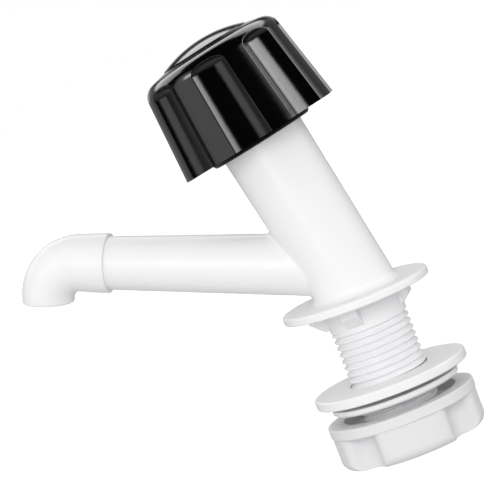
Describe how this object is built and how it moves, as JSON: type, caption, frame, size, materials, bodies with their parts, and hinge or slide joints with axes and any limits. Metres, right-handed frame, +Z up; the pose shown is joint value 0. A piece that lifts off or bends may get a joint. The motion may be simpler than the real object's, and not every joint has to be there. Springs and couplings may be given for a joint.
{
  "type": "plastic basin tap",
  "caption": "White plastic pillar tap with a leaning barrel, rising spout with a push-on elbow, black fluted knob, deck flange, threaded shank, washer, gasket and back nut.",
  "frame": {"origin": "centre of the flange's underside, on the axis of the shank and its inlet bore", "axes": "+Z up the shank towards the knob, -X the way the spout points, XZ the tap's plane of symmetry"},
  "size_m": [0.1078, 0.045, 0.1196],
  "materials": {
    "white_plastic": "gloss",
    "black_plastic": "gloss",
    "grey_rubber": "matt",
    "black_rubber": "matt",
    "natural_nylon": "satin",
    "steel": "satin"
  },
  "bodies": {
    "body": {"tap_body": "white_plastic", "spout_elbow": "white_plastic", "bonnet": "black_plastic", "bonnet_o_ring": "black_rubber"},
    "valve": {"jumper_valve": "natural_nylon", "valve_washer": "black_rubber"},
    "handle": {"knob": "black_plastic", "knob_cap": "black_plastic", "knob_screw": "steel", "spindle": "natural_nylon", "spindle_o_ring": "black_rubber"},
    "clamp_washers": {"clamp_washer": "white_plastic", "gasket_ring": "grey_rubber"},
    "back_nut": {"back_nut": "white_plastic"}
  },
  "joints": [
    {"name": "valve_lift", "type": "slide", "parent": "body", "child": "valve", "axis": [-0.2028, 0, 0.9792], "range_m": [0, 0.00376]},
    {"name": "knob_turn", "type": "hinge", "parent": "valve", "child": "handle", "pos_m": [0, 0, 0.0022], "axis": [-0.2028, 0, 0.9792], "range_deg": [0, 540]},
    {"name": "washer_travel", "type": "slide", "parent": "body", "child": "clamp_washers", "axis": [0, 0, 1], "range_m": [0, 0.01362]},
    {"name": "nut_turn", "type": "hinge", "parent": "clamp_washers", "child": "back_nut", "pos_m": [0, 0, 0], "axis": [0, 0, 1], "range_deg": [0, 2700]}
  ],
  "couplings": [
    {"joint": "valve_lift", "follows": "knob_turn", "m_per_rad": 0.00039789},
    {"joint": "washer_travel", "follows": "nut_turn", "m_per_rad": 0.00028871}
  ]
}
